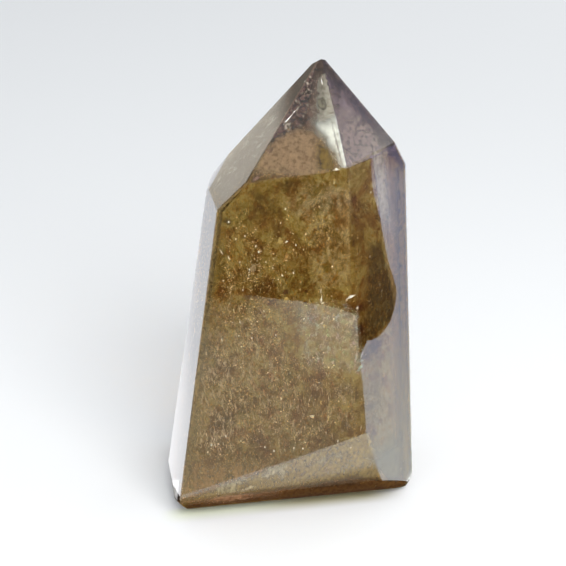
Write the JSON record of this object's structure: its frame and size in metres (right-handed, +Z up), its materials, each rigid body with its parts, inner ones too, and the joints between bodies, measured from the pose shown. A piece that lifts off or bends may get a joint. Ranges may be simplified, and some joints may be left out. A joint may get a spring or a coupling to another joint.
{
  "type": "smoky quartz point",
  "caption": "Polished smoky quartz point with tapering prism faces, a faceted tip and a flat sawn base it stands on.",
  "frame": {"origin": "middle of the bounding box at the sawn base", "axes": "+Z up through the tip, -Y towards the broad front face, +X to its right"},
  "size_m": [0.0434, 0.031, 0.0784],
  "materials": {
    "smoky_quartz": "polished, see-through smoky brown crystal with veils and small flakes sealed inside"
  },
  "bodies": {
    "root": {"quartz_point": "smoky_quartz"}
  },
  "joints": []
}
